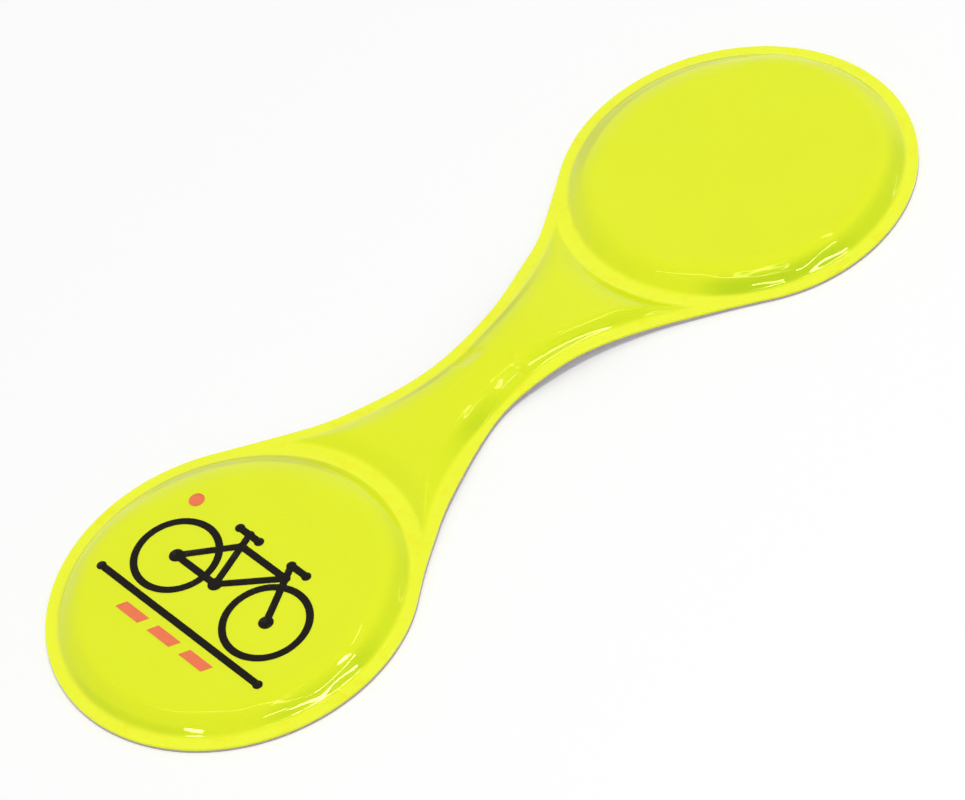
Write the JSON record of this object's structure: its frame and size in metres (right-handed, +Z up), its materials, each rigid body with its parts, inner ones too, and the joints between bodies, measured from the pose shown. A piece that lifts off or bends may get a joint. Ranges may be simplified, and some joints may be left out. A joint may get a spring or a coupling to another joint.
{
  "type": "magnetic reflector clip",
  "caption": "Fluorescent yellow soft reflector clip: round lobes with pillow cells and hidden disc magnets, joined by a narrow waist that folds over an edge.",
  "frame": {"origin": "on the surface that the open clip lies on, under the middle of its waist", "axes": "+X along the clip from the printed lobe to the plain lobe, +Z up, out of the reflecting face"},
  "size_m": [0.126, 0.044, 0.0028],
  "materials": {
    "yellow_film": "glossy fluorescent yellow PVC film with fine prisms",
    "grey_film": "satin grey PVC film with a fine leather grain",
    "magnet_plating": "nickel-plated",
    "black_ink": "screen-printed ink, semi-gloss",
    "coral_ink": "screen-printed ink, semi-gloss"
  },
  "bodies": {
    "root": {"back_film": "grey_film", "front_film": "yellow_film", "magnet_printed_end": "magnet_plating", "magnet_plain_end": "magnet_plating", "print_black": "black_ink", "print_coral": "coral_ink"}
  },
  "joints": []
}
